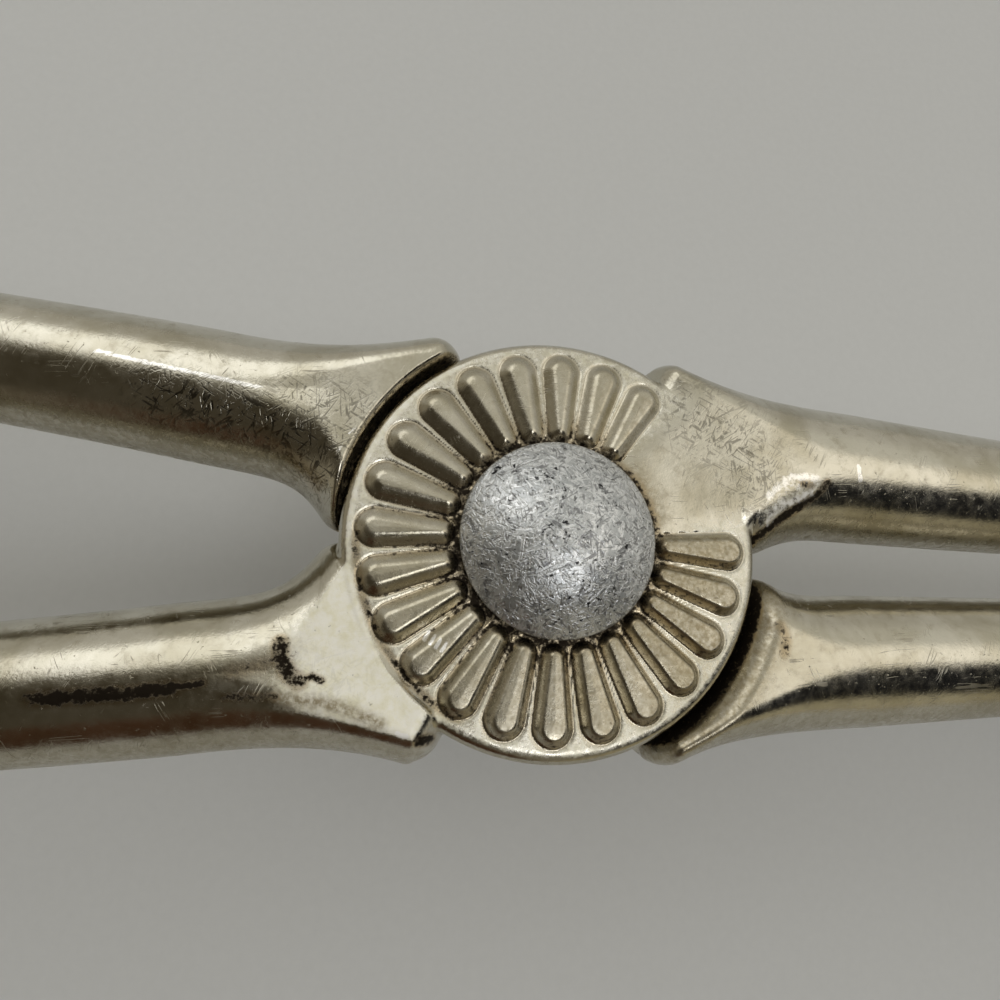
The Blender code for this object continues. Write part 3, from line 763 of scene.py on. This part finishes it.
def aluminium(name, pale, deep, rough):
    """Dull grey rivet metal: short scratches every way, dark pits and a hammered face."""
    nodes = Nodes(name)
    place = nodes.place()
    cloud = nodes.noise(place, 0.45, detail=4.0, rough=0.6, warp=0.5)
    mottle = nodes.noise(place, 2.6, detail=5.0, rough=0.7)
    bright = scratches(
        nodes, place, (12, 47, 81, 129, 158), fine=3.2, draw=0.14, width=0.06, cut=1.1, cover=0.46
    )
    dark = scratches(
        nodes, place, (30, 100, 145), fine=3.4, draw=0.20, width=0.06, cut=1.3, cover=0.52
    )
    crowd = nodes.ramp(nodes.noise(place, 0.30), 0.35, 0.65, 0.68, 0.60)
    pits = nodes.math("SUBTRACT", nodes.noise(place, 3.2, detail=4.0, rough=0.65), crowd)
    pits = nodes.ramp(pits, 0.0, 0.03)
    colour = nodes.mix(nodes.ramp(cloud, 0.3, 0.72), pale, deep)
    colour = nodes.mix(nodes.ramp(mottle, 0.5, 0.75, 0, 0.5), colour, GREY_MOTTLE)
    colour = nodes.mix(nodes.math("MULTIPLY", bright, 0.65), colour, GREY_BRIGHT)
    colour = nodes.mix(nodes.math("MULTIPLY", dark, 0.7), colour, GREY_SCRATCH)
    colour = nodes.mix(pits, colour, GREY_PIT)
    height = nodes.math("ADD", cloud, nodes.math("MULTIPLY", mottle, 0.5))
    for mark, depth in ((bright, 0.30), (dark, 0.30), (pits, 0.7)):
        height = nodes.math("SUBTRACT", height, nodes.math("MULTIPLY", mark, depth))
    roughness = nodes.ramp(mottle, 0.3, 0.75, rough - 0.06, rough + 0.12)
    nodes.set(nodes.shader.inputs["Base Color"], colour)
    nodes.set(nodes.shader.inputs["Metallic"], 0.9)
    nodes.set(nodes.shader.inputs["Roughness"], roughness)
    nodes.set(nodes.shader.inputs["Normal"], nodes.bump(height, strength=0.50, distance=0.10))
    return nodes.material


# The pieces


def stroke(points, line, width):
    """1 on a drawn line in plan, fading to 0 at its width."""
    best = np.full(len(points), 1e9)
    for a, b in zip(line, line[1:]):
        a = np.array(a)
        way = np.array(b) - a
        share = np.clip(((points[:, :2] - a) @ way) / max(way @ way, 1e-9), 0, 1)
        best = np.minimum(best, np.linalg.norm(points[:, :2] - a - share[:, None] * way, axis=1))
    return 1 - step(0, width, best)


def drawn(points, shown, marks):
    """The strongest of a group of marks on the face that shows."""
    total = np.zeros(len(points))
    for line, width, share in marks:
        total = np.maximum(total, shown * stroke(points, line, width) * share)
    return total


# Where the disc's face is dirtiest round the petals, where its rim holds dirt, and where its
# petals are brownest
OLD_DIRT_WAY = 215 * DEG
RIM_DIRT_MIDDLE = -151 * DEG
RIM_DIRT_EDGES = (36.54 * DEG, 30.77 * DEG)
BROWN_WAY = -10 * DEG


def face_grime_and_shade(radius, angle, depth, lower):
    """Dirt on the disc's face: at the petals' feet, round the dome and along a stretch of the rim,
    and painted shade on the petals' lower sides."""
    near_dome = 1 - step(6.2, 8.6, radius)
    old = 0.5 + 0.5 * np.cos(angle - OLD_DIRT_WAY)
    foot = bell(depth, -0.10, 0.16) * (depth > -1.5) * (0.18 + 0.46 * near_dome + 0.26 * old)
    dome = (1 - step(6.0, 7.0, radius)) * 0.75
    stretch = step(*RIM_DIRT_EDGES, np.abs(angle - RIM_DIRT_MIDDLE))
    lip = bell(radius, PETAL_ENDS[1], 0.28) * stretch * 0.6
    # Painted shade: the petals' sides that face -y are darkened
    sides = step(-0.35, -0.75, lower) * 0.42
    return np.maximum.reduce((foot, dome, lip, sides))


def face_film(radius, angle, depth, field):
    """Brown film on the disc's face: on the petals, least on the worn side and most beside the
    field's lower end, and on the field near the dome."""
    tarnish = 0.45 - 0.24 * np.cos(angle - WORN_SIDE)
    tarnish = tarnish + 0.20 * step(0.55, 0.95, np.cos(angle - BROWN_WAY))
    petals = (0.04 + tarnish * step(-0.1, 0.25, depth)) * (1 - field)
    return np.maximum(petals, field * (1 - step(6.2, 8.4, radius)) * 0.8)


def arm_masks(points, normals, front):
    """Where grime, film, bare bright metal, scuffs and matt wear lie on a casting, with painted
    shade beside the gap round the disc and on sides facing -y, and painted highlights and
    dark reflections among the drawn marks.
    """
    x, y, z = points.T
    up = normals[:, 2]
    lower = normals[:, 1] * (1 if front else -1)
    radius = np.hypot(x, y)
    angle = np.arctan2(y, x)
    depth = petal_depth(radius, angle)
    field = field_share(angle)
    face = (z > LAND - 0.5) & (radius < DISC_RADIUS) & (up > 0.05)
    under = (z < LAP_GAP + 0.5) & (z > -HALF_ARM - 0.1)
    jaw = step(*JAW_SIDE_FROM_TO, x)
    off_arc = radius - ARC_RADIUS
    # Painted shade: the faces beside the running gap round the disc are darkened, most on the
    # jaw's side
    gap = under * (1 - step(0.45 * jaw - 0.1, 0.1 * jaw + 0.5, off_arc)) * (0.55 + 0.35 * jaw)
    grime_and_shade = np.maximum(gap, face * face_grime_and_shade(radius, angle, depth, lower))
    # Painted shade: a brown film on the sides that face -y
    lower_side_shade = step(-0.55, -0.85, lower) * 0.6
    arc_side = under * jaw * (1 - step(0.8, 2.8, off_arc)) * 0.85
    film_and_shade = face * face_film(radius, angle, depth, field)
    film_and_shade = np.maximum.reduce((film_and_shade, lower_side_shade, arc_side))
    flat = step(0.86, 0.985, up) * step(11.6, 12.4, radius)
    shoulder = front * flat * step(-4.0, -7.0, x) * step(-17.5, -12.5, x)
    land = face * (1 - step(-0.3, -0.1, depth)) * (1 - field) * step(7.0, 9.0, radius)
    matt_and_glint = np.maximum(shoulder, land * step(0.85, 0.97, up) * 0.46)
    marks = FRONT_MARKS if front else REAR_MARKS
    seen = points * np.array((1.0, 1.0 if front else -1.0, 1.0))
    shown = (z > 0) == front
    masks = {name: drawn(seen, shown, group) for name, group in marks.items()}
    for name, wear_and_shade in (("grime_and_shade", grime_and_shade), ("film_and_shade", film_and_shade), ("matt_and_glint", matt_and_glint)):
        masks[name] = np.maximum(masks[name], wear_and_shade)
    return masks


# Marks on the faces that show, in plan: lines, their widths and their strength. Some are
# painted highlights and dark reflections, as said beside them.
TOOL_MARKS = [
    ((-7.6 + 0.32 * i, -6.1 - 0.2 * i), (-7.35 + 0.32 * i, -5.65 - 0.2 * i)) for i in range(4)
]
FRONT_MARKS = {
    "grime_and_shade": (
        (((-15.3, -6.5), (-15.25, -7.3), (-14.8, -8.0), (-14.2, -8.5)), 0.82, 0.85),
        (((-14.2, -8.5), (-13.5, -8.2), (-13.0, -8.4)), 0.40, 0.70),
        (((-27.0, -9.6), (-22.8, -9.3), (-20.4, -8.95)), 0.75, 1.0),
        (((-20.4, -8.95), (-19.0, -8.65)), 0.40, 0.9),
        (((-17.7, -8.1), (-16.7, -7.85), (-15.9, -7.6)), 0.9, 0.42),
        (((-17.9, -9.4), (-16.6, -9.3), (-15.3, -9.3)), 0.5, 0.6),
        (((-7.6, -11.5), (-7.0, -11.4)), 0.6, 0.9),
        # Painted dark reflection: a black band along the front jaw's lower edge, with a dark spot
        # above it
        (((12.95, 0.75), (13.95, 1.6), (15.0, 2.4), (16.05, 3.1)), 0.55, 0.95),
        (((16.05, 3.1), (17.2, 3.9), (17.8, 4.6)), 0.50, 0.85),
        (((16.0, 4.5), (16.6, 4.35)), 0.60, 0.55),
    ),
    "bare_and_glint": (
        (((20.0, 5.85), (20.15, 4.95)), 0.3, 1.0),
        # Painted highlight: a whitish patch along the front jaw's lower edge, here and in the matt
        # stroke
        (((13.65, 3.4), (14.3, 4.2), (15.2, 4.8), (16.2, 4.85), (17.0, 4.8)), 0.80, 0.66),
        (((13.75, 1.95), (14.0, 2.65), (15.0, 3.2), (16.15, 3.7), (16.7, 3.95)), 0.85, 0.60),
        (((13.7, 2.8), (14.6, 3.8), (15.5, 4.25)), 1.30, 0.46),
        (((-8.8, -11.1), (-8.3, -11.2)), 0.35, 0.9),
        *((line, 0.24, 0.9) for line in TOOL_MARKS),
    ),
    # Painted dark reflection: a dark band along the crest of the front handle's flat
    "film_and_shade": ((((-15.2, -9.4), (-13.0, -9.5), (-11.5, -9.9), (-9.8, -10.6)), 0.7, 1.0),),
    # Painted highlight: the whitish matt part of the front jaw's patch
    "matt_and_glint": ((((13.75, 1.95), (14.2, 2.75), (15.1, 3.35), (16.2, 3.85), (16.9, 4.2)), 1.2, 0.60),),
    "scuff": (
        (((9.0, 8.5), (11.5, 6.8), (12.5, 5.0)), 4.4, 0.65),
        (((-16.0, -7.5), (-12.0, -8.5)), 3.0, 0.12),
    ),
}
REAR_MARKS = {
    "grime_and_shade": (
        (((-17.6, 5.6), (-16.2, 4.6), (-15.0, 3.6), (-14.2, 2.6)), 0.8, 0.4),
        (((13.8, -4.6), (14.1, -5.4), (13.9, -6.2)), 0.7, 0.5),
    ),
    "bare_and_glint": (
        # Painted highlight: a thin bright line along the rear handle's crest
        (((-27.0, 9.4), (-25.3, 9.06), (-17.78, 7.89)), 0.26, 1.0),
        (((-13.2, 4.2), (-12.9, 4.8)), 0.20, 0.7),
        (((-12.55, 5.5), (-12.2, 6.0)), 0.20, 0.7),
    ),
    "film_and_shade": (),
    "matt_and_glint": (),
    "scuff": (
        (((-23.5, 7.2), (-19.4, 6.7), (-15.6, 5.0), (-14.0, 3.2)), 2.6, 1.0),
        (((-15.5, 7.4), (-12.6, 6.8), (-13.0, 4.0)), 3.0, 0.7),
    ),
}


# Grid spacings: the front arm's is finest, since the photo is taken from there
FRONT_GRID = 0.11
REAR_GRID = 0.17
HEAD_GRID = 0.5
SHANK_GRID = 0.6


def arm_axes(fine):
    """Grid places for an arm: close round the pivot, wider along the shanks and ring."""
    wide = SHANK_GRID
    across = spaced((-42, -15, wide), (-15, 15, fine), (15, 16, wide))
    along = spaced((-114, -26, wide), (-26, -15, fine * 2), (-15, 22, fine), (22, 64, wide))
    up = spaced((-4.8, 2.4, fine * 1.5), (2.4, 4.9, fine))
    return along, across, up


def build_arm(name, front, fine):
    def shape(x, y, z):
        return arm_shape(x, y, z, front)

    points, quads = net(shape, arm_axes(fine))
    points, normals = settle(shape, points)
    masks = arm_masks(points, normals, front)
    return mesh_piece(name, points, quads, normals, not front, masks)


def build_head(name, forked, fine):
    def shape(x, y, z):
        return head_shape(x, y, z, forked)

    axes = spaced((61, 149, fine)), spaced((-0.5, 16, fine)), spaced((-25, 25, fine))
    points, quads = net(shape, axes)
    points, normals = settle(shape, points)
    return mesh_piece(name, points, quads, normals, forked)


def rivet_profile():
    """Half the rivet's outline: dome, rounded edge, shank and tail."""
    cap = RIVET_TOP - RIVET_SEAT - RIVET_EDGE
    ball = (RIVET_RADIUS**2 + cap**2) / (2 * cap)
    half = math.asin(RIVET_RADIUS / ball) / DEG
    dome = arc((0, RIVET_TOP - ball), ball, 90, 90 - half * DOME_SHARE, 26)
    dome[0] = (0, RIVET_TOP)
    under = RIVET_SEAT + RIVET_GAP
    edge_middle = (RIVET_RADIUS - RIVET_ROUNDING, under + RIVET_ROUNDING)
    edge = arc(edge_middle, RIVET_ROUNDING, 50, -90, 7)
    shank = [(RIVET_SHANK, under), (RIVET_SHANK, TAIL_TOP), (TAIL_RADIUS, TAIL_TOP)]
    tail = arc((TAIL_RADIUS - TAIL_ROUNDING, TAIL_ROUNDING), TAIL_ROUNDING, 0, -90, 6)
    return dome + edge + shank + tail + [(0, 0)]


def washer_profile():
    """Half the washer's outline, its two outer edges rounded."""
    high, low = WASHER_TOP_ROUNDING, WASHER_FOOT_ROUNDING
    crown = arc((WASHER_RADIUS - high, WASHER_TOP - high), high, 90, 0, 4)
    foot = arc((WASHER_RADIUS - low, WASHER_FOOT + low), low, 0, -90, 6)
    return [(0, WASHER_TOP)] + crown + foot + [(0, WASHER_FOOT)]


def place_piece(piece, body, material, slot, *nodes):
    piece.data.materials.append(material)
    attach(piece, body)
    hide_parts(*nodes)


def build_pieces():
    coarse = 1.0
    cast = silver("worn_silver_with_painted_light", *CAST_COLOURS, rough=0.16)
    stamped = silver("stamped_silver", *STAMPED_COLOURS, rough=0.20, marks=False)
    grey = aluminium("rivet_metal", *RIVET_COLOURS, rough=0.29)
    dull = aluminium("washer_metal", *WASHER_COLOURS, rough=0.42)
    front = build_arm("front_casting", True, FRONT_GRID * coarse)
    place_piece(front, "front_arm", cast, "cast_silver", "front_arm", "front_finger_ring")
    rear = build_arm("rear_casting", False, REAR_GRID * coarse)
    place_piece(rear, "rear_arm", cast, "cast_silver", "rear_arm", "rear_finger_ring")
    spoon = build_head("spoon", False, HEAD_GRID * coarse)
    place_piece(spoon, "front_arm", stamped, "head_silver", "spoon_bowl")
    fork = build_head("fork", True, HEAD_GRID * coarse)
    place_piece(fork, "rear_arm", stamped, "head_silver", "fork_head")
    rivet = turned_piece("rivet", rivet_profile())
    place_piece(rivet, "front_arm", grey, "rivet_grey", "pivot_rivet")
    washer = turned_piece("washer", washer_profile())
    place_piece(washer, "front_arm", dull, "burr_grey", "rivet_burr")


# Camera, floor and light


# The floor's half side in metres, its gap under the part in millimetres
FLOOR_HALF = 8.0
FLOOR_GAP = 0.3
FLOOR_COLOURS = ((0.56, 0.57, 0.57, 1), (0.60, 0.61, 0.61, 1))

# The room that the metal mirrors. A patch has a direction, the cosines to it where the patch
# starts and where it is whole, and a colour. The window's side has the same, and pales upwards.
NEAR_ROOM = (0.19, 0.17, 0.13)
NEAR_PATCHES = (
    ((-0.95, 0.30, 0.20), 0.45, 0.85, (0.28, 0.25, 0.19)),
    ((-0.45, -0.40, 0.80), 0.70, 0.92, (0.060, 0.050, 0.034)),
    ((-0.25, -0.93, 0.25), 0.91, 0.97, (0.055, 0.028, 0.015)),
    ((0.62, -0.78, 0.03), 0.86, 0.96, (0.36, 0.32, 0.22)),
)
WINDOW_WAY = (0.514, 0.857, 0.0)
WINDOW_EDGES = (-0.10, 0.24)
WINDOW_RISE = (0.25, 0.60)
WINDOW_LOW = (0.50, 0.48, 0.43)
WINDOW_HIGH = (0.66, 0.64, 0.57)
WINDOW_PATCH = ((0.57, 0.06, 0.82), 0.93, 0.985, (1.25, 1.18, 1.05))
DARK_PATCH = ((0.70, -0.42, 0.58), 0.915, 0.965, (0.010, 0.010, 0.011))
LAMP_PATCH = ((0.24, -0.30, 0.92), 0.974, 0.992, (3.2, 3.2, 3.2))
BACKDROP = (0.42, 0.43, 0.42)

# Lamps: name, place in metres, size, power and whether the metal mirrors them
LAMPS = (
    ("window_lamp", (-0.36, 0.60, 0.79), 0.64, 1.10, True),
    ("fill_lamp", (0.15, -0.10, 1.05), 0.90, 2.0, False),
)


def add_camera():
    data = bpy.data.cameras.new("photo_camera")
    data.sensor_width = 36.0
    data.sensor_fit = "HORIZONTAL"
    data.lens = LENS_IMAGE_WIDTHS * data.sensor_width
    data.clip_start = 1.0 * MM
    data.clip_end = 20.0
    camera = bpy.data.objects.new("photo_camera", data)
    bpy.context.scene.collection.objects.link(camera)
    turn = (
        Matrix.Rotation(CAMERA_PITCH, 3, "X")
        @ Matrix.Rotation(CAMERA_YAW, 3, "Y")
        @ Matrix.Rotation(CAMERA_ROLL, 3, "Z")
    )
    place = Vector(CAMERA_PLACE) * MM
    camera.matrix_world = Matrix.Translation(place) @ turn.transposed().to_4x4()
    bpy.context.scene.camera = camera


def add_floor():
    nodes = Nodes("pale_floor")
    speckle = nodes.noise(nodes.place(), 1.2, detail=3.0, rough=0.6)
    nodes.set(nodes.shader.inputs["Base Color"], nodes.mix(speckle, *FLOOR_COLOURS))
    nodes.shader.inputs["Roughness"].default_value = 0.6
    height = CAD_BOX[0][2] - FLOOR_GAP * MM
    corners = ((-1, -1), (1, -1), (1, 1), (-1, 1))
    mesh = bpy.data.meshes.new("floor")
    mesh.from_pydata(
        [(x * FLOOR_HALF, y * FLOOR_HALF, height) for x, y in corners], [], [(0, 1, 2, 3)]
    )
    mesh.materials.append(nodes.material)
    floor = bpy.data.objects.new("floor", mesh)
    bpy.context.scene.collection.objects.link(floor)


def add_world():
    """A room by direction: a window beyond the tongs, a lamp overhead, dark on the near side."""
    world = bpy.data.worlds.new("soft_room")
    bpy.context.scene.world = world
    world.use_nodes = True
    tree = world.node_tree
    new = tree.nodes.new
    links = tree.links.new
    way = new("ShaderNodeTexCoord").outputs["Generated"]

    def toward(direction):
        node = new("ShaderNodeVectorMath")
        node.operation = "DOT_PRODUCT"
        links(way, node.inputs[0])
        node.inputs[1].default_value = Vector(direction).normalized()
        return node.outputs["Value"]

    def ramp(value, low, high):
        """A smooth rise from low to high, or fall where high is the lower."""
        node = new("ShaderNodeMapRange")
        node.interpolation_type = "SMOOTHSTEP"
        links(value, node.inputs[0])
        node.inputs[1].default_value = low
        node.inputs[2].default_value = high
        return node.outputs[0]

    def blend(share, under, over):
        node = new("ShaderNodeMix")
        node.data_type = "RGBA"
        links(share, node.inputs[0])
        for socket, value in ((node.inputs[6], under), (node.inputs[7], over)):
            if isinstance(value, bpy.types.NodeSocket):
                links(value, socket)
            else:
                socket.default_value = (*value, 1)
        return node.outputs[2]

    def patch(under, direction, low, high, over):
        return blend(ramp(toward(direction), low, high), under, over)

    near = NEAR_ROOM
    for spot in NEAR_PATCHES:
        near = patch(near, *spot)
    raised = ramp(toward((0.0, 0.0, 1.0)), *WINDOW_RISE)
    beyond = patch(blend(raised, WINDOW_LOW, WINDOW_HIGH), *WINDOW_PATCH)
    room = blend(ramp(toward(WINDOW_WAY), *WINDOW_EDGES), near, beyond)
    room = patch(room, *DARK_PATCH)
    room = patch(room, *LAMP_PATCH)
    seen = new("ShaderNodeLightPath").outputs["Is Camera Ray"]
    room = blend(seen, room, BACKDROP)
    background = tree.nodes["Background"]
    links(room, background.inputs["Color"])
    background.inputs["Strength"].default_value = 1.0


def add_lamp(name, place, size, power, mirrored):
    """A square lamp aimed at the pivot."""
    data = bpy.data.lights.new(name, "AREA")
    data.size = size
    data.energy = power
    lamp = bpy.data.objects.new(name, data)
    bpy.context.scene.collection.objects.link(lamp)
    lamp.visible_glossy = mirrored
    lamp.location = place
    lamp.rotation_euler = (-Vector(place)).to_track_quat("-Z", "Y").to_euler()


build_pieces()
add_camera()
add_floor()
add_world()
for lamp in LAMPS:
    add_lamp(*lamp)
bpy.context.scene.view_settings.view_transform = "Standard"
